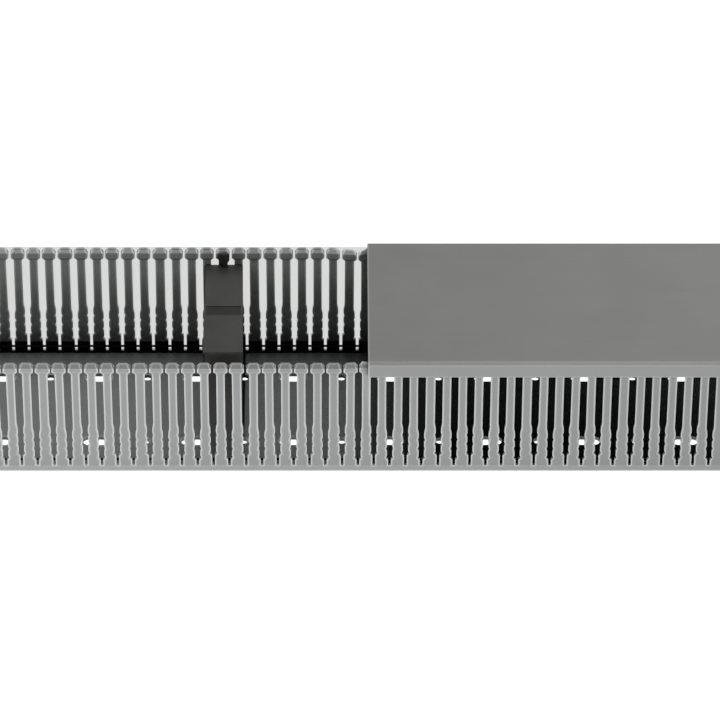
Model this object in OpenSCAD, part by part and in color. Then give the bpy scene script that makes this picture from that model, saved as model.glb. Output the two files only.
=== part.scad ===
// Slotted wire duct: a U-shaped trough with slotted walls, a snap-on cover over
// part of its length, and a wire retainer clipped inside.
// The duct lies on the level floor and runs along X. The origin is at the middle
// of the underside, +Z is up, and the front wall is on the -Y side.

/* [Duct] */

// Length of the duct
duct_length = 500; // [200:50:600]
// Width over the cover's flanges
overall_width = 97; // [90:0.1:150]
// Height from the floor to the top of the cover
overall_height = 73.2; // [70:0.1:120]
// Thickness of the walls
wall = 1.6; // [1.4:0.1:2]
// Thickness of the base
base = 2.2; // [1.8:0.1:2.5]

/* [Tines] */

// Repeat length of the wall pattern: six slots, five narrow tines and a wide one
repeat = 48.5; // [48:0.1:52]
// Distance from slot to slot inside one repeat
slot_step = 8; // [7.8:0.1:8.2]
// Width of a slot in its upper part
slot_width = 3.8; // [3.4:0.1:4.2]
// Width of a slot between its notches
notch_width = 2.7; // [2.4:0.1:3.2]
// Width of a slot across the tips of its notches
notch_tip_width = 3.9; // [3.4:0.1:4.2]
// Width of the slit at a slot's foot
slit_width = 1.4; // [1:0.1:1.8]
// Gap between the barbs of two neighbouring heads
barb_gap = 1; // [0.8:0.1:1.4]
// How much lower every second slot reaches
stagger = 3.1; // [2:0.1:3.4]
// How much higher the notches of the back wall sit
back_raise = 3.1; // [0:0.1:3.4]
// How far a head stands out from the wall's face
bead = 0.7; // [0.6:0.05:0.9]

/* [Base holes] */

// Distance between like holes along the duct
hole_pitch = 50; // [40:1:60]
// Distance between the two rows of holes
row_spacing = 50; // [40:1:54]
// Length of a long hole
long_hole_length = 13.5; // [10:0.5:18]
// Width of a long hole
long_hole_width = 6.5; // [5:0.5:7]
// Diameter of a round hole
round_hole_d = 4.5; // [4:0.5:6]

/* [Cover] */

// Length of the cover, which ends flush with the duct's right end
cover_length = 236.8; // [100:0.1:500]
// Thickness of the cover's top
cover_top = 1.3; // [1.1:0.1:1.4]
// Thickness of the cover's flanges
cover_flange = 1.2; // [1:0.1:1.3]
// Depth of the flanges below the cover's top
flange_depth = 10.3; // [10:0.1:11]
// Bevel along the cover's upper edges
cover_bevel = 1.5; // [0.8:0.1:1.6]
// Running clearance between the cover and the walls
cover_clearance = 0.3; // [0.25:0.05:0.35]

/* [Wire retainer] */

// Which repeat of the back wall holds the retainer
retainer_repeat = 1; // [1:1:1]
// Width of the retainer along the duct
retainer_width = 19.8; // [16:0.1:24]
// Thickness of the retainer's strip
retainer_strip = 1.5; // [1.3:0.1:1.8]
// Reach of the top arm from the back wall
arm_reach = 68.5; // [52:0.1:72]
// Reach of the foot from the back wall
foot_reach = 72.8; // [52:0.1:76]
// Distance of the top arm below the top of the walls
arm_drop = 10.3; // [10:0.1:14]

/* [Hidden] */
$fn = 48;
eps = 0.01;

// Cross-section of the walls, worked out inwards from the overall size
bead_y = overall_width / 2 - cover_flange - cover_clearance;
face_y = bead_y - bead;
inner_y = face_y - wall;
wall_top = overall_height - cover_top - cover_clearance;
ridge = 0.6;
chamfer_drop = 2.6;
land_end = 5.9;
foot_top = 3.1;
foot_slope = 4.2;
foot_step = 0.25;
slit_foot = 3.9;
rib = 0.5;
rib_z = 6.2;

// Slot levels, measured down from the top of the wall and up from the floor
barb_tip_top = 3.3;
barb_tip_end = 5.5;
barb_end = 7.5;
slit_top = 10.7;
taper_end = 28.3;
taper_top = 31.1;
notch_levels = [12.1, 18.1, 24.1];
notch_half = 1.5;

// Slots along a wall; the back wall is turned half round and has its notches higher
pattern_shift = 4;
wide_step = repeat - 5 * slot_step;
end_margin = 4;
repeats = ceil(duct_length / repeat / 2) + 1;

function slot_x(k, i) = -pattern_shift + k * repeat + wide_step / 2 + i * slot_step;
slots = [
    for (k = [-repeats : repeats], i = [0 : 5])
    if (abs(slot_x(k, i)) < duct_length / 2 - end_margin)
    [slot_x(k, i), i % 2 == 0 ? 0 : stagger]
];

// Right-hand edge of one slot, from its foot up: [half width, height]
function slot_edge(drop) = concat(
    [[slit_width / 2, slit_foot], [slit_width / 2, slit_top - drop]],
    [[notch_tip_width / 2, notch_levels[0] - drop]],
    [[notch_width / 2, notch_levels[0] - drop + notch_half]],
    [
        for (n = [1, 2], side = [-1, 0, 1])
        [side == 0 ? notch_tip_width / 2 : notch_width / 2, notch_levels[n] - drop + side * notch_half]
    ],
    [[notch_width / 2, taper_end - drop], [slot_width / 2, taper_top - drop]],
    [[slot_width / 2, wall_top - barb_end]],
    [[barb_gap / 2, wall_top - barb_tip_end], [barb_gap / 2, wall_top - barb_tip_top]],
    [[slot_width / 2, wall_top]]
);

function slot_outline(x, drop) = let (
    edge = slot_edge(drop),
    last = len(edge) - 1
) concat(
    [for (i = [0 : last]) [x - edge[last - i][0], edge[last - i][1]]],
    [for (i = [0 : last]) [x + edge[i][0], edge[i][1]]]
);

// Front view of a wall: a comb of tines on a closed foot
module comb(raise) {
    tines = [for (s = slots) each slot_outline(s[0], s[1] - raise)];
    polygon(concat(
        [[duct_length / 2, wall_top], [duct_length / 2, 0]],
        [[-duct_length / 2, 0], [-duct_length / 2, wall_top]],
        tines
    ));
}

// Cross-section of the front wall, drawn in Y and Z, with the arrow-shaped head
module wall_section() {
    mid = (face_y + inner_y) / 2;
    back = inner_y - bead;
    polygon([
        [-face_y + foot_step, 0],
        [-face_y + foot_step, foot_top],
        [-face_y, foot_slope],
        [-face_y, wall_top - land_end - bead],
        [-bead_y, wall_top - land_end],
        [-bead_y, wall_top - chamfer_drop],
        [-mid - ridge / 2, wall_top],
        [-mid + ridge / 2, wall_top],
        [-back, wall_top - chamfer_drop],
        [-back, wall_top - land_end],
        [-inner_y, wall_top - land_end - 2 * bead],
        [-inner_y, 0]
    ]);
}

module slotted_wall(raise) {
    intersection() {
        rotate([90, 0, 0])
            linear_extrude(height = overall_width)
                comb(raise);
        rotate([90, 0, 90])
            linear_extrude(height = duct_length, center = true)
                wall_section();
    }
    // thin rib along the inside, which bridges the slits
    rotate([90, 0, 90])
        linear_extrude(height = duct_length, center = true)
            polygon([
                [-inner_y - eps, rib_z], [-inner_y + rib, rib_z + 0.3],
                [-inner_y + rib, rib_z + 0.6], [-inner_y - eps, rib_z + 1.4]
            ]);
}

module long_hole() {
    run = long_hole_length - long_hole_width;
    for (side = [-1, 1])
        translate([side * run / 2, 0, -1])
            cylinder(d = long_hole_width, h = base + 2);
    translate([-run / 2, -long_hole_width / 2, -1])
        cube([run, long_hole_width, base + 2]);
}

module base_plate() {
    half = floor(duct_length / hole_pitch / 2);
    difference() {
        translate([-duct_length / 2, -inner_y - eps, 0])
            cube([duct_length, 2 * inner_y + 2 * eps, base]);
        for (k = [-half : half], side = [-1, 1]) {
            if (abs((k + 0.5) * hole_pitch) < duct_length / 2 - long_hole_length)
                translate([(k + 0.5) * hole_pitch, side * row_spacing / 2, 0])
                    long_hole();
            if (abs(k * hole_pitch) < duct_length / 2 - long_hole_length)
                translate([k * hole_pitch, side * row_spacing / 2, -1])
                    cylinder(d = round_hole_d, h = base + 2);
        }
    }
}

module duct_body() {
    color([0.60, 0.61, 0.62])
    union() {
        base_plate();
        slotted_wall(0);
        rotate([0, 0, 180])
            slotted_wall(back_raise);
    }
}

// One side of the cover's hollow, from the mouth up, with the hook under the bead
function cover_side() = let (
    flange_y = overall_width / 2 - cover_flange,
    tip_y = face_y + cover_clearance,
    low = overall_height - flange_depth,
    seat = wall_top - land_end - bead - face_y - cover_clearance * sqrt(2)
) [
    [flange_y, low - 1], [flange_y, low], [tip_y, low + 1.6],
    [tip_y, seat + tip_y], [flange_y, seat + flange_y],
    [flange_y, overall_height - cover_top - inner_bevel],
    [flange_y - inner_bevel, overall_height - cover_top]
];
inner_bevel = cover_bevel / 2;
lip_bevel = 0.5;

module cover_section() {
    half = overall_width / 2;
    low = overall_height - flange_depth;
    side = cover_side();
    last = len(side) - 1;
    outer = [
        [half - lip_bevel, low], [half, low + lip_bevel],
        [half, overall_height - cover_bevel], [half - cover_bevel, overall_height]
    ];
    difference() {
        polygon(concat(outer, [for (i = [0 : 3]) [-outer[3 - i][0], outer[3 - i][1]]]));
        polygon(concat(side, [for (i = [0 : last]) [-side[last - i][0], side[last - i][1]]]));
    }
}

module cover() {
    color([0.52, 0.53, 0.54])
    translate([duct_length / 2 - cover_length, 0, 0])
        rotate([90, 0, 90])
            linear_extrude(height = cover_length)
                cover_section();
}

// Rounded corner of the retainer's strip, opening towards -Y
module strip_corner(r, up) {
    intersection() {
        difference() {
            circle(r = r);
            circle(r = r - retainer_strip);
        }
        translate([0, up ? 0 : -r])
            square([r, r]);
    }
}

// Side view of the retainer: a C that is open towards the front wall
module retainer_section() {
    arm_z = wall_top - arm_drop;
    top_r = 3;
    foot_r = 6;
    translate([inner_y - arm_reach, arm_z - retainer_strip])
        square([arm_reach - top_r, retainer_strip]);
    translate([inner_y - top_r, arm_z - top_r])
        strip_corner(top_r, true);
    translate([inner_y - retainer_strip, base + foot_r])
        square([retainer_strip, arm_z - top_r - base - foot_r]);
    translate([inner_y - foot_r, base + foot_r])
        strip_corner(foot_r, false);
    translate([inner_y - foot_reach, base])
        square([foot_reach - foot_r, retainer_strip]);
}
// Window across the top arm, where it flexes
window_y = inner_y - 38;
window_width = 7;
window_rim = 1;

// Tongue with an arrow head, standing in front of the tine that holds the clip
module tongue() {
    tongue_y = inner_y - bead - cover_clearance;
    arm_z = wall_top - arm_drop;
    tip_z = wall_top - 1.8;
    translate([0, tongue_y, 0])
        rotate([90, 0, 0])
            linear_extrude(height = retainer_strip)
                polygon([
                    [-1.8, arm_z - 1], [1.8, arm_z - 1],
                    [1.8, wall_top - barb_end], [2.8, wall_top - barb_tip_end],
                    [2.8, wall_top - barb_tip_top], [1.8, tip_z],
                    [-1.8, tip_z], [-2.8, wall_top - barb_tip_top],
                    [-2.8, wall_top - barb_tip_end], [-1.8, wall_top - barb_end]
                ]);
}

// Barbed finger that reaches through a slot and catches behind the tine
module finger() {
    finger_x = (slot_step - slot_width) / 2 + cover_clearance;
    finger_z = wall_top - arm_drop - 10;
    thick = 1.4;
    translate([finger_x, inner_y - eps, finger_z])
        cube([thick, wall + cover_clearance + thick, 5]);
    translate([finger_x - 1, face_y + cover_clearance, finger_z])
        cube([1 + eps, thick - eps, 5]);
}

module wire_retainer() {
    color([0.24, 0.24, 0.235])
    translate([-slot_x(retainer_repeat, 1) - slot_step / 2, 0, 0])
    union() {
        difference() {
            rotate([90, 0, 90])
                linear_extrude(height = retainer_width, center = true)
                    retainer_section();
            translate([-retainer_width / 2 + window_rim, window_y - window_width / 2, wall_top - arm_drop - 3])
                cube([retainer_width - 2 * window_rim, window_width, 5]);
        }
        tongue();
        finger();
        mirror([1, 0, 0])
            finger();
    }
}

duct_body();
cover();
wire_retainer();
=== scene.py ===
"""Looks of the slotted wire duct: materials, fine detail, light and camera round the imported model."""
import math
import random

import bpy
from mathutils import Matrix, Vector


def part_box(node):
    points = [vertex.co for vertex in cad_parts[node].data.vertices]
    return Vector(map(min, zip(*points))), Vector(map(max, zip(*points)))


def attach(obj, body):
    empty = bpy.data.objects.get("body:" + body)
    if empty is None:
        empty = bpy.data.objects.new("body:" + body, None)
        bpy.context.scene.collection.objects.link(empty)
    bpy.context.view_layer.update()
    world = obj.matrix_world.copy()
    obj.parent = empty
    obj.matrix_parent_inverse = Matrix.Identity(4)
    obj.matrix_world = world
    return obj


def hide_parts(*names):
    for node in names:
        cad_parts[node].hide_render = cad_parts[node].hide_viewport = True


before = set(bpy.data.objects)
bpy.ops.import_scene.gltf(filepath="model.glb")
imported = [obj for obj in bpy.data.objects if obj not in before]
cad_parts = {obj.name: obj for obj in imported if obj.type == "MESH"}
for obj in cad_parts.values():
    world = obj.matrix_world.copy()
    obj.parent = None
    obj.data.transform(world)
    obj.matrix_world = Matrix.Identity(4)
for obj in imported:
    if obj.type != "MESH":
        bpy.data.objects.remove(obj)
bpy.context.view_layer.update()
SCENE = bpy.context.scene
MM = 0.001
FAR = 1.0  # metres: beyond the object on every side, for a limit that is left open
AO_SAMPLES = 8


# ---------------------------------------------------------------- node helpers

def new_material(name):
    """An empty material with its Principled shader wired to the output."""
    material = bpy.data.materials.new(name)
    material.use_nodes = True
    tree = material.node_tree
    tree.nodes.clear()
    output = tree.nodes.new("ShaderNodeOutputMaterial")
    shader = tree.nodes.new("ShaderNodeBsdfPrincipled")
    tree.links.new(shader.outputs["BSDF"], output.inputs["Surface"])
    return material, tree, shader


def feed(tree, socket, value):
    """Links an input to another socket, or sets it to a plain number."""
    if isinstance(value, bpy.types.NodeSocket):
        tree.links.new(value, socket)
    else:
        socket.default_value = value


def math_node(tree, operation, a, b=0.0):
    """One math node; a and b are sockets or plain numbers."""
    node = tree.nodes.new("ShaderNodeMath")
    node.operation = operation
    feed(tree, node.inputs[0], a)
    feed(tree, node.inputs[1], b)
    return node.outputs[0]


def product(tree, *factors):
    """All the factors, which are sockets or plain numbers, multiplied."""
    result = factors[0]
    for factor in factors[1:]:
        result = math_node(tree, "MULTIPLY", result, factor)
    return result


def mix_number(tree, fac, a, b):
    """Number a where fac is 0 and b where it is 1; each is a socket or a plain number."""
    node = tree.nodes.new("ShaderNodeMix")
    for socket, value in zip((node.inputs[0], node.inputs[2], node.inputs[3]), (fac, a, b)):
        feed(tree, socket, value)
    return node.outputs[0]


def where(tree, zone, factor):
    """The factor where the zone is 1, and a plain 1 elsewhere."""
    return mix_number(tree, zone, 1.0, factor)


def between(tree, value, low, high):
    """1 where the value lies between two levels, else 0."""
    above = math_node(tree, "GREATER_THAN", value, low)
    return product(tree, above, math_node(tree, "LESS_THAN", value, high))


def coordinates(tree, vector):
    """The X, Y and Z of a vector."""
    node = tree.nodes.new("ShaderNodeSeparateXYZ")
    tree.links.new(vector, node.inputs["Vector"])
    return node.outputs["X"], node.outputs["Y"], node.outputs["Z"]


def facing(tree):
    """The X, Y and Z of the surface's own direction, without any bump."""
    return coordinates(tree, tree.nodes.new("ShaderNodeNewGeometry").outputs["True Normal"])


def map_range(tree, value, low, high, start=0.0, end=1.0):
    """A node that maps low to high onto start to end, and stops there."""
    node = tree.nodes.new("ShaderNodeMapRange")
    node.inputs["From Min"].default_value = low
    node.inputs["From Max"].default_value = high
    node.inputs["To Min"].default_value = start
    node.inputs["To Max"].default_value = end
    tree.links.new(value, node.inputs["Value"])
    return node


def ramp(tree, value, stops):
    """A curve through (position, level) stops, straight between them and level beyond the ends."""
    low, high = stops[0][0], stops[-1][0]
    curve = tree.nodes.new("ShaderNodeValToRGB")
    elements = curve.color_ramp.elements
    while len(elements) < len(stops):
        elements.new(0.5)
    top = max(level for _, level in stops)
    for element, (place, level) in zip(elements, stops):
        element.position = (place - low) / (high - low)
        element.color = (level / top, level / top, level / top, 1.0)
    tree.links.new(map_range(tree, value, low, high).outputs["Result"], curve.inputs["Fac"])
    return product(tree, curve.outputs["Color"], top)


def noise(tree, vector, scale, detail=3.0, stretch=(1.0, 1.0, 1.0)):
    """Noise from 0 to 1 in the row frame's metres; a small stretch draws it out along that axis."""
    mapping = tree.nodes.new("ShaderNodeMapping")
    mapping.inputs["Scale"].default_value = stretch
    tree.links.new(vector, mapping.inputs["Vector"])
    texture = tree.nodes.new("ShaderNodeTexNoise")
    texture.inputs["Scale"].default_value = scale
    texture.inputs["Detail"].default_value = detail
    tree.links.new(mapping.outputs["Vector"], texture.inputs["Vector"])
    return texture.outputs["Fac"]


def spread(tree, fac, middle, swing):
    """Maps the middle of a noise, 0.3 to 0.7, onto middle minus swing to middle plus swing."""
    return map_range(tree, fac, 0.3, 0.7, middle - swing, middle + swing).outputs["Result"]


def tint(tree, colour, factor):
    """A base colour multiplied by a grey factor."""
    mix = tree.nodes.new("ShaderNodeVectorMath")
    mix.operation = "SCALE"
    mix.inputs[0].default_value = colour
    tree.links.new(factor, mix.inputs["Scale"])
    return mix.outputs["Vector"]


def bump(tree, shader, height, distance):
    """Adds a bump under the shader's normal, on top of any that is there."""
    node = tree.nodes.new("ShaderNodeBump")
    node.inputs["Distance"].default_value = distance
    node.inputs["Strength"].default_value = 1.0
    tree.links.new(height, node.inputs["Height"])
    old = shader.inputs["Normal"].links
    if old:
        tree.links.new(old[0].from_socket, node.inputs["Normal"])
    tree.links.new(node.outputs["Normal"], shader.inputs["Normal"])


def open_share(tree, distance, inside=False):
    """The share of free space within a distance of a spot, before the surface or behind it."""
    node = tree.nodes.new("ShaderNodeAmbientOcclusion")
    node.samples = AO_SAMPLES
    node.inside = inside
    node.inputs["Distance"].default_value = distance
    return node.outputs["AO"]


# ------------------------------------------------------------- shading numbers
# Places are metres in the row frame, and a stop is a (place or share, factor on the colour).

SKY_REACH = 0.15      # how far a spot inside the trough looks for open sky
LIP_REACH = 0.0035    # how far the shadow line under an overhanging lip reaches
EDGE_REACH = 0.0011   # how wide the painted highlight along a sharp edge is

# Zones of the duct: half widths from the middle line, and heights above the floor
INNER_HALF = 0.04485  # the walls' inner faces
BEAD_HALF = 0.0405    # further in than the beads inside the tines' heads
RIB_HALF = 0.04405    # just inside the thin ribs that bridge the slits
BASE_TOP = 0.0023     # just above the base
RIB_TOP = 0.010       # above the ribs, where the slots begin
RIM_TOP = 0.0032      # the painted highlight along the walls' foot
CLIP_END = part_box("wire_retainer")[1][0]
CLIP_SHADOW = 0.0013  # width of the contact shadow beside the wire retainer
NEAR_HOLES = (-0.035, 0.0)  # the front row of holes, along Y
LEVEL_NORMAL = 0.5    # a face whose normal rises or falls less than this stands upright

# Zones of the cover
COVER_FACE = 0.07165  # the top and its bevels lie above this height
BEVEL_TOP = 0.07318
BEVEL_HALF = 0.0469
UNDER_TOP = 0.0719    # the underside, seen from the trough, lies below this height
UNDER_HALF = 0.0472

# How the inside darkens with the share of open sky that a spot sees
SHADE_STOPS = [(0.0, 0.02), (0.12, 0.05), (0.25, 0.26), (0.4, 0.78), (0.55, 1.4), (0.75, 1.8)]
# Painted shade: how the inner faces of the walls darken from the open top down to the base
WALL_STOPS = [(0.0, 0.45), (0.010, 0.45), (0.016, 0.58), (0.022, 0.75), (0.030, 0.70),
              (0.043, 0.68), (0.052, 0.73), (0.060, 0.70), (0.065, 0.66), (0.0690, 0.66),
              (0.0693, 1.12), (0.0716, 1.1)]
# Painted shade on the base from the front wall to the back one, and along X from the cover's end
BASE_STOPS = [(-0.045, 0.43), (0.0, 0.48), (0.035, 0.66), (0.045, 0.74)]
UNDER_STOPS = [(-0.012, 1.0), (0.004, 0.5), (0.05, 0.55), (0.1, 1.0)]
# The outer faces: the painted shadow line under a lip, painted light along X, and painted shade on the
# front heads' roofs
LIP_STOPS = [(0.0, 0.3), (0.6, 0.4), (0.8, 0.7), (0.92, 1.0)]
OUTSIDE_STOPS = [(-0.16, 1.09), (0.0, 1.0), (0.16, 0.90)]
CAP_STOPS = [(0.0684, 1.0), (0.0685, 0.84), (0.0703, 0.84), (0.0706, 0.62)]
# Painted light on the cover's top along X, and a painted highlight along sharp edges, where free space
# lies behind a spot
COVER_STOPS = [(0.013, 0.92), (0.16, 1.04), (0.25, 1.04)]
EDGE_STOPS = [(0.55, 1.0), (0.75, 0.8), (0.97, 0.0)]
# Factors that are the same all over their zone: painted shade on the ribs and beside the clip, painted
# light on the hole walls, and painted highlights along the walls' foot and on the cover's bevels
RIB_SHADE, CLIP_SHADE, HOLE_WALL_LIGHT, RIM_HIGHLIGHT, BEVEL_HIGHLIGHT = 0.05, 0.12, 0.35, 1.25, 1.5

# Painted light: the wire retainer's foot and the corner of its top arm get paler towards the back wall,
# against the shade there
FOOT_TOP = 0.012
FOOT_STOPS = [(-0.03, 1.0), (0.015, 2.2), (0.044, 3.6)]
ARM_FACE = (0.0605, 0.0615)
ARM_STOPS = [(0.030, 1.0), (0.0366, 1.25), (0.0405, 1.7), (0.0432, 2.5), (0.0449, 3.2)]

# Noise per metre on extruded PVC: clouds, streaks and grain of the colour, patches of roughness,
# and ridges and pores for the bump. Streaks and ridges are drawn out along X.
PVC_CLOUDS, PVC_STREAKS, PVC_GRAIN = 18.0, 700.0, 2200.0
PVC_PATCHES, PVC_RIDGES, PVC_PORES = 60.0, 1600.0, 4000.0
STREAK_DRAW, RIDGE_DRAW = (0.012, 1.0, 1.0), (0.02, 1.0, 1.0)
RIDGE_DEPTH, PORE_DEPTH = 0.00002, 0.00001
# The same on moulded plastic, whose bump is pebbled
MOULD_CLOUDS, MOULD_SPECKLE, MOULD_PATCHES, MOULD_PEBBLES = 40.0, 2600.0, 90.0, 2400.0
PEBBLE_DEPTH = 0.00003
HALF_GLOSS = 0.5      # the Principled shader's usual specular level


# ------------------------------------------------------------------- materials

def painted_edge_highlight(tree, cut_highlight_gain, edge_highlight_gain):
    """Painted highlights: a factor above 1 on punched or sawn faces, which look along X, and close to
    sharp edges.
    """
    cut = product(tree, math_node(tree, "ABSOLUTE", facing(tree)[0]), cut_highlight_gain)
    edge = product(tree, ramp(tree, open_share(tree, EDGE_REACH, True), EDGE_STOPS), edge_highlight_gain)
    return math_node(tree, "ADD", math_node(tree, "ADD", cut, 1.0), edge)


def trough_shade(tree, depth, height, half_width, top):
    """A factor for the inside, which darkens the less open sky a spot sees."""
    inside = product(tree, between(tree, depth, -FAR, half_width), between(tree, height, -FAR, top))
    return where(tree, inside, ramp(tree, open_share(tree, SKY_REACH), SHADE_STOPS))


def duct_shade(tree, place):
    """Painted light and shade on the duct, one factor for each of its zones."""
    x, y, height = coordinates(tree, place)
    depth = math_node(tree, "ABSOLUTE", y)
    low = between(tree, height, -FAR, BASE_TOP)
    base = product(tree, low, between(tree, depth, -FAR, INNER_HALF))
    clip = product(tree, base, between(tree, x, CLIP_END, CLIP_END + CLIP_SHADOW))
    above_base = between(tree, height, BASE_TOP, FAR)
    wall = product(tree, above_base, between(tree, depth, BEAD_HALF, INNER_HALF))
    at_rib = between(tree, height, BASE_TOP, RIB_TOP)
    rib = product(tree, at_rib, between(tree, depth, RIB_HALF, INNER_HALF))
    outside = between(tree, depth, INNER_HALF, FAR)
    face = product(tree, outside, between(tree, height, RIB_TOP, FAR))
    front = product(tree, outside, between(tree, y, -FAR, 0.0))
    rim = product(tree, outside, between(tree, height, -FAR, RIM_TOP))
    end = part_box("cover")[0][0]
    # Painted shade on the base under the cover, near its end
    under = ramp(tree, x, [(end + place_x, level) for place_x, level in UNDER_STOPS])
    shade = product(
        tree,
        trough_shade(tree, depth, height, INNER_HALF, FAR),
        where(tree, base, product(tree, ramp(tree, y, BASE_STOPS), under)),
        where(tree, wall, ramp(tree, height, WALL_STOPS)),
        where(tree, rib, RIB_SHADE),
        where(tree, clip, CLIP_SHADE),
        # Painted shadow under lips, painted light along X and painted shade on the front heads' roofs
        where(tree, face, ramp(tree, open_share(tree, LIP_REACH), LIP_STOPS)),
        where(tree, outside, ramp(tree, x, OUTSIDE_STOPS)),
        where(tree, front, ramp(tree, height, CAP_STOPS)),
        # Painted highlight along the walls' foot
        where(tree, rim, RIM_HIGHLIGHT),
    )
    # Painted light on the upright walls of the front row of holes in the base
    upright = between(tree, facing(tree)[2], -LEVEL_NORMAL, LEVEL_NORMAL)
    hole = product(tree, base, upright, between(tree, y, *NEAR_HOLES))
    return mix_number(tree, hole, shade, HOLE_WALL_LIGHT)


def cover_shade(tree, place):
    """Painted shade on the cover's underside, which the trough shades, painted light on its top along
    X, and painted highlights on its bevels.
    """
    x, y, height = coordinates(tree, place)
    depth = math_node(tree, "ABSOLUTE", y)
    at_bevel = between(tree, height, COVER_FACE, BEVEL_TOP)
    bevel = product(tree, at_bevel, between(tree, depth, BEVEL_HALF, FAR))
    return product(
        tree,
        trough_shade(tree, depth, height, UNDER_HALF, UNDER_TOP),
        # Painted light on the top along X, and painted highlights on the bevels
        where(tree, between(tree, height, COVER_FACE, FAR), ramp(tree, x, COVER_STOPS)),
        where(tree, bevel, BEVEL_HIGHLIGHT),
    )


def extruded_pvc(name, colour, roughness, cut_highlight_gain, edge_highlight_gain, shade):
    """Rigid grey PVC: even colour, faint draw lines along X, a satin grain, painted highlights on cut
    faces and edges, and painted light and shade from the given shade.
    """
    material, tree, shader = new_material(name)
    place = tree.nodes.new("ShaderNodeTexCoord").outputs["Object"]
    cloud = spread(tree, noise(tree, place, PVC_CLOUDS), 1.0, 0.025)
    lines = spread(tree, noise(tree, place, PVC_STREAKS, 2.0, STREAK_DRAW), 1.0, 0.015)
    grain = spread(tree, noise(tree, place, PVC_GRAIN, 2.0), 1.0, 0.015)
    shading = shade(tree, place)
    factor = product(tree, cloud, lines, grain, painted_edge_highlight(tree, cut_highlight_gain, edge_highlight_gain), shading)
    tree.links.new(tint(tree, colour, factor), shader.inputs["Base Color"])
    # The painted shade dims the specular level as well
    gloss = product(tree, math_node(tree, "MINIMUM", shading, 1.0), HALF_GLOSS)
    tree.links.new(gloss, shader.inputs["Specular IOR Level"])
    rough = spread(tree, noise(tree, place, PVC_PATCHES, 4.0), roughness, 0.05)
    tree.links.new(rough, shader.inputs["Roughness"])
    bump(tree, shader, noise(tree, place, PVC_RIDGES, 3.0, RIDGE_DRAW), RIDGE_DEPTH)
    bump(tree, shader, noise(tree, place, PVC_PORES, 2.0), PORE_DEPTH)
    return material


def moulded_plastic(name, colour, roughness):
    """Dark moulded plastic with an eroded, slightly pebbled surface, and painted light on its foot and
    the back corner of its top arm.
    """
    material, tree, shader = new_material(name)
    place = tree.nodes.new("ShaderNodeTexCoord").outputs["Object"]
    _, y, height = coordinates(tree, place)
    factor = product(
        tree,
        spread(tree, noise(tree, place, MOULD_CLOUDS), 1.0, 0.05),
        spread(tree, noise(tree, place, MOULD_SPECKLE, 2.0), 1.0, 0.05),
        # Painted light on the foot and on the top arm's back corner
        where(tree, between(tree, height, -FAR, FOOT_TOP), ramp(tree, y, FOOT_STOPS)),
        where(tree, between(tree, height, *ARM_FACE), ramp(tree, y, ARM_STOPS)),
    )
    tree.links.new(tint(tree, colour, factor), shader.inputs["Base Color"])
    rough = spread(tree, noise(tree, place, MOULD_PATCHES, 4.0), roughness, 0.06)
    tree.links.new(rough, shader.inputs["Roughness"])
    bump(tree, shader, noise(tree, place, MOULD_PEBBLES, 3.0), PEBBLE_DEPTH)
    return material


DUCT_PVC = extruded_pvc("duct_pvc", (0.260, 0.271, 0.274), 0.48, 0.8, 1.2, duct_shade)
COVER_PVC = extruded_pvc("cover_pvc", (0.254, 0.258, 0.258), 0.45, 0.0, 0.8, cover_shade)
RETAINER_PLASTIC = moulded_plastic("retainer_plastic", (0.0282, 0.0286, 0.0266), 0.55)


# ---------------------------------------------------------------- shaped copies
# From here on, lengths in the shapes are millimetres.

SHARP_ANGLE = math.radians(30)

# The walls' pattern of slots: steps of STEP, one wider step in each REPEAT, and its shift along X
STEP, REPEAT, SHIFT = 8.0, 48.5, 4.0
STEPS_IN_REPEAT = 6
COVER_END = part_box("cover")[0][0] / MM
DUCT_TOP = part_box("duct_body")[1][2] / MM
HALF_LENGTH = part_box("duct_body")[1][0] / MM
WALL_FROM = 43.5      # what lies further than this from the middle line belongs to a wall
TINE_FOOT = 9.0       # height at which a tine starts to bend
LAST_TINE = 40
LEAN_LIMIT = 0.16
# How far from the cover's end its neighbours lean in, and how much the nearest does
BACK_PULL, FRONT_PULL = (22.0, 2.4), (12.0, 1.3)
BACK_ROOF, BACK_NARROWER = 1.0, 0.88
FRONT_ROOF, FRONT_LOWER = 3.0, 0.6

RANDOM = random.Random(7)
SWAY = {(side, tine): (RANDOM.gauss(0, 0.10), RANDOM.gauss(0, 0.08))
        for side in (-1, 1) for tine in range(-LAST_TINE, LAST_TINE + 1)}

# The wire retainer: the back of its strip, the top of its arm, and the round corner between them
CLIP_LOW, CLIP_HIGH = (tuple(value / MM for value in corner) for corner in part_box("wire_retainer"))
CLIP_BACK = INNER_HALF / MM - 0.15
ARM_TOP = DUCT_TOP - 10.3
ARM_THICK = 3.0
CORNER_RADIUS = 3.0
CORNER_SLACK = 0.2
FOOT_LEVEL = 8.0      # the foot lies below this height
FOOT_EXTRA = 12.0     # how much longer the foot is than the solid's
TIP_FROM, TIP_EXTRA = 60.0, 1.5          # the arm's tip, that far before its back, reaches further
WINDOW, WINDOW_BACK = (45.0, 30.0), 0.8  # the window in the arm sits further back
ARM_REACH = 70.0
# How far the arm's left and right edges move along X: at its tip, and the change up to its back
LEFT_SKEW, RIGHT_SKEW = (0.76, 0.51), (1.15, -0.77)
SKEW_RISE = (5.0, 55.0)                  # heights between which that comes in

LIP_ZONE, LIP_SHORTER = 0.6, 0.85        # the cover's lowest edge, and how far it moves up

# The thin web in the retainer's window: distances before the back and below the arm's top
WEB_HALF, WEB_SHIFT = 9.3, 0.7
WEB_DEPTH, WEB_HEIGHT = (41.0, 33.4), (1.1, 0.3)


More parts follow.
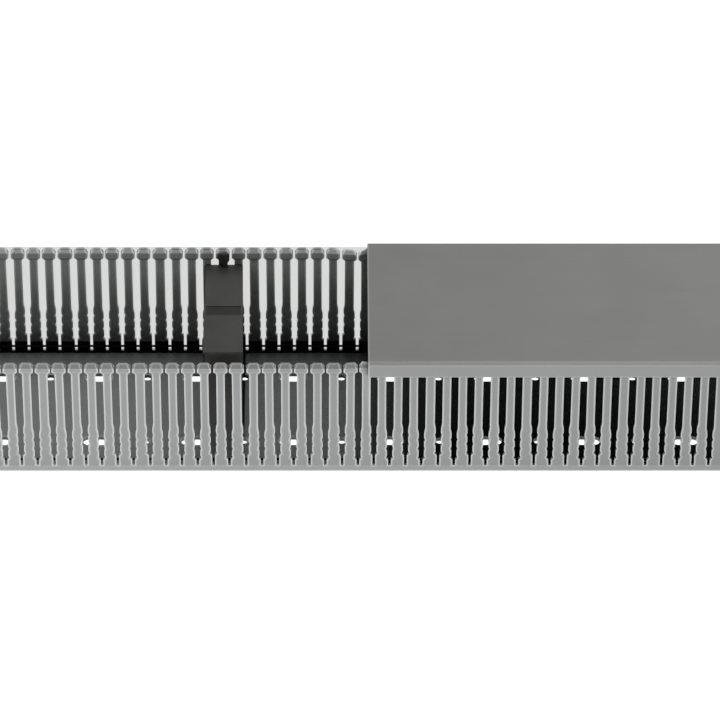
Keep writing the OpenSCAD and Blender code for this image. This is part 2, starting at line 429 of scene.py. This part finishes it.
def shaped_copy(node, body, material, move, crisp=False):
    """A copy of a CAD node with its corners moved a little, which stands for the node."""
    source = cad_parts[node]
    mesh = source.data.copy()
    mesh.materials.clear()
    mesh.materials.append(material)
    for vertex in mesh.vertices:
        vertex.co = Vector(move(*(value / MM for value in vertex.co))) * MM
    if crisp:
        if "custom_normal" in mesh.attributes:
            mesh.attributes.remove(mesh.attributes["custom_normal"])
        mesh.shade_smooth()
        mesh.set_sharp_from_angle(angle=SHARP_ANGLE)
    mesh.update()
    copy = bpy.data.objects.new(node + "_shaped", mesh)
    SCENE.collection.objects.link(copy)
    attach(copy, body)
    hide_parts(node)
    return copy


def clamp(value, low, high):
    """The value, kept between low and high."""
    return min(max(value, low), high)


def smooth(value, low, high):
    """0 below low, 1 above high and a smooth rise between."""
    t = clamp((value - low) / (high - low), 0.0, 1.0)
    return t * t * (3.0 - 2.0 * t)


def tine_of(x, side):
    """Number and middle of the tine at x; side is -1 for the front wall and 1 for the back one."""
    run = x - side * SHIFT
    period = math.floor(run / REPEAT + 0.5)
    rest = run - period * REPEAT
    wide = (REPEAT - (STEPS_IN_REPEAT - 1) * STEP) / 2
    steps = 0 if abs(rest) < wide else math.copysign(1 + (abs(rest) - wide) // STEP, rest)
    offset = math.copysign(wide + (abs(steps) - 0.5) * STEP, steps) if steps else 0.0
    return int(period * STEPS_IN_REPEAT + steps), period * REPEAT + offset + side * SHIFT


def bend_tine(x, y, z):
    """Tines lean and sway a little, and those next to the cover's end are pulled inwards."""
    if abs(y) < WALL_FROM or z < TINE_FOOT:
        return x, y, z
    side = -1 if y < 0 else 1
    height = (z - TINE_FOOT) / (DUCT_TOP - TINE_FOOT)
    tine, middle = tine_of(x, side)
    sway, lean = SWAY[(side, clamp(tine, -LAST_TINE, LAST_TINE))]
    lean = clamp(lean, -LEAN_LIMIT, LEAN_LIMIT)
    if x < COVER_END + 1.0:
        reach, pull = BACK_PULL if side > 0 else FRONT_PULL
        lean -= pull * smooth(x, COVER_END - reach, COVER_END + 2.0)
    if side > 0 and z > DUCT_TOP - BACK_ROOF:
        x = middle + (x - middle) * BACK_NARROWER
    if side < 0 and z > DUCT_TOP - FRONT_ROOF:
        z -= FRONT_LOWER
    x = clamp(x + sway * height ** 1.5, -HALF_LENGTH, HALF_LENGTH)
    return x, y + side * lean * height ** 2, z


def settle_retainer(x, y, z):
    """The clip sits a little askew, with a crisp back corner and a longer foot than the solid's."""
    away = Vector((y - (CLIP_BACK - CORNER_RADIUS), z - (ARM_TOP - CORNER_RADIUS)))
    if away.x > 0.01 and away.y > 0.01 and abs(away.length - CORNER_RADIUS) < CORNER_SLACK:
        away *= CORNER_RADIUS / max(away.x, away.y)
        y, z = CLIP_BACK - CORNER_RADIUS + away.x, ARM_TOP - CORNER_RADIUS + away.y
    if z < FOOT_LEVEL and y < CLIP_LOW[1] + 2.0:
        y -= FOOT_EXTRA
    if ARM_TOP - ARM_THICK < z < ARM_TOP + 0.1 and y < CLIP_BACK - 2.0:
        if y < CLIP_BACK - TIP_FROM:
            y -= TIP_EXTRA
        elif CLIP_BACK - WINDOW[0] < y < CLIP_BACK - WINDOW[1]:
            y += WINDOW_BACK
    back = clamp((y - (CLIP_BACK - ARM_REACH)) / ARM_REACH, 0.0, 1.0)
    right = (x - CLIP_LOW[0]) / (CLIP_HIGH[0] - CLIP_LOW[0])
    left_move = LEFT_SKEW[0] + LEFT_SKEW[1] * back
    right_move = RIGHT_SKEW[0] + RIGHT_SKEW[1] * back
    return x + smooth(z, *SKEW_RISE) * ((1.0 - right) * left_move + right * right_move), y, z


def shorten_lip(x, y, z):
    """The outside of the cover's lip ends a little higher than its hook."""
    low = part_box("cover")[0][2] / MM
    return x, y, z + (LIP_SHORTER if z < low + LIP_ZONE else 0.0)


def make_hinge_web():
    """The thin web that closes the window in the clip's top arm, where the plastic flexes."""
    middle = (CLIP_LOW[0] + CLIP_HIGH[0]) / 2 + WEB_SHIFT
    y0, y1 = (CLIP_BACK - depth for depth in WEB_DEPTH)
    z0, z1 = (ARM_TOP - drop for drop in WEB_HEIGHT)
    around = ((-1, y0), (1, y0), (1, y1), (-1, y1))
    corners = [(middle + i * WEB_HALF, y, z) for z in (z0, z1) for i, y in around]
    faces = [(3, 2, 1, 0), (4, 5, 6, 7), (0, 1, 5, 4), (1, 2, 6, 5), (2, 3, 7, 6), (3, 0, 4, 7)]
    mesh = bpy.data.meshes.new("hinge_web")
    mesh.from_pydata([Vector(corner) * MM for corner in corners], [], faces)
    # The web's plastic is painted darker than the clip's: painted shade in the recessed window
    mesh.materials.append(moulded_plastic("hinge_shaded_plastic", (0.0108, 0.0108, 0.010), 0.7))
    web = bpy.data.objects.new("hinge_web", mesh)
    SCENE.collection.objects.link(web)
    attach(web, "duct")


shaped_copy("duct_body", "duct", DUCT_PVC, bend_tine)
shaped_copy("wire_retainer", "duct", RETAINER_PLASTIC, settle_retainer, True)
shaped_copy("cover", "cover", COVER_PVC, shorten_lip)
make_hinge_web()


# ---------------------------------------------------- floor, light and camera

FLOOR_SIZE = 6.0      # metres from the middle to each side
FLOOR_DROP = 0.0002   # keeps the floor just clear of the duct's underside
FLOOR_COLOUR = (0.995, 1.0, 0.985, 1.0)
# The floor's glow along Y: bright in front of the duct and far behind it, with a painted shadow close
# behind it
FLOOR_STOPS = [(-0.06, 1.7), (-0.045, 1.3), (0.046, 1.3), (0.05, 0.68), (0.1350, 0.70),
               (0.1358, 1.3)]

# One broad soft light overhead, tilted forward by LIGHT_TILT degrees, with a soft rim between
# LIGHT_INNER and LIGHT_OUTER degrees from its middle, in a dim dome, and a low fill from the front
LIGHT_TILT, LIGHT_INNER, LIGHT_OUTER = 20.0, 25.0, 45.0
LIGHT_LEVEL, DOME_LEVEL, FILL_LEVEL = 1.9, 0.03, 0.9
LIGHT_COLOUR = (1.0, 0.995, 0.97, 1.0)
FILL_HEIGHT_STOPS = [(-0.1, 1.0), (0.05, 1.0), (0.25, 0.6), (0.45, 0.0)]
FILL_FRONT_STOPS = [(-1.0, 1.0), (-0.6, 1.0), (-0.2, 0.0)]

# The camera, as fitted to measured points of the photo: angles in degrees, lengths in millimetres
CAMERA_ELEVATION, CAMERA_YAW, CAMERA_ROLL = 39.988, 0.404, 0.252
CAMERA_TARGET, CAMERA_DISTANCE = (9.41, 0.0, 34.84), 2966.9
LENS, SENSOR = 291.37, 36.0
CLIP_NEAR, CLIP_FAR = 0.1, 50.0  # metres


def make_floor():
    """A plain glowing table, with a painted shadow close behind the duct."""
    corners = [(i * FLOOR_SIZE, j * FLOOR_SIZE, 0) for i, j in ((-1, -1), (1, -1), (1, 1), (-1, 1))]
    mesh = bpy.data.meshes.new("floor")
    mesh.from_pydata(corners, [], [(0, 1, 2, 3)])
    floor = bpy.data.objects.new("floor", mesh)
    floor.location.z = -FLOOR_DROP
    SCENE.collection.objects.link(floor)
    material = bpy.data.materials.new("light_table")
    material.use_nodes = True
    tree = material.node_tree
    tree.nodes.clear()
    output = tree.nodes.new("ShaderNodeOutputMaterial")
    glow = tree.nodes.new("ShaderNodeEmission")
    glow.inputs["Color"].default_value = FLOOR_COLOUR
    y = coordinates(tree, tree.nodes.new("ShaderNodeTexCoord").outputs["Object"])[1]
    tree.links.new(ramp(tree, y, FLOOR_STOPS), glow.inputs["Strength"])
    tree.links.new(glow.outputs["Emission"], output.inputs["Surface"])
    mesh.materials.append(material)


def make_world():
    """A dim studio with one broad soft light overhead and a low fill from the front."""
    world = bpy.data.worlds.new("studio")
    world.use_nodes = True
    tree = world.node_tree
    background = tree.nodes["Background"]
    background.inputs["Color"].default_value = LIGHT_COLOUR
    direction = tree.nodes.new("ShaderNodeTexCoord").outputs["Generated"]
    turn = tree.nodes.new("ShaderNodeMapping")
    turn.inputs["Rotation"].default_value = (math.radians(LIGHT_TILT), 0.0, 0.0)
    tree.links.new(direction, turn.inputs["Vector"])
    overhead = coordinates(tree, turn.outputs["Vector"])[2]
    rim, core = (math.cos(math.radians(angle)) for angle in (LIGHT_OUTER, LIGHT_INNER))
    lobe = map_range(tree, overhead, rim, core, DOME_LEVEL, LIGHT_LEVEL)
    lobe.interpolation_type = "SMOOTHSTEP"
    _, y, z = coordinates(tree, direction)
    from_low = ramp(tree, z, FILL_HEIGHT_STOPS)
    fill = product(tree, from_low, ramp(tree, y, FILL_FRONT_STOPS), FILL_LEVEL)
    strength = math_node(tree, "ADD", lobe.outputs["Result"], fill)
    tree.links.new(strength, background.inputs["Strength"])
    SCENE.world = world


def make_camera():
    """The photo's long lens, looking down on the duct's front at about 40 degrees."""
    elevation = math.radians(CAMERA_ELEVATION)
    yaw = math.radians(CAMERA_YAW)
    roll = math.radians(CAMERA_ROLL)
    target = Vector(CAMERA_TARGET) * MM
    distance = CAMERA_DISTANCE * MM
    ahead = Vector((math.sin(yaw) * math.cos(elevation), math.cos(yaw) * math.cos(elevation),
                    -math.sin(elevation)))
    level = Vector((math.cos(yaw), -math.sin(yaw), 0.0))
    plumb = level.cross(ahead)
    right = math.cos(roll) * level + math.sin(roll) * plumb
    up = math.cos(roll) * plumb - math.sin(roll) * level
    lens = bpy.data.cameras.new("camera")
    lens.lens = LENS
    lens.sensor_width = SENSOR
    lens.clip_start = CLIP_NEAR
    lens.clip_end = CLIP_FAR
    camera = bpy.data.objects.new("camera", lens)
    turn = Matrix((right, up, -ahead)).transposed().to_4x4()
    camera.matrix_world = Matrix.Translation(target - ahead * distance) @ turn
    SCENE.collection.objects.link(camera)
    SCENE.camera = camera


make_floor()
make_world()
make_camera()
SCENE.view_settings.view_transform = "Standard"
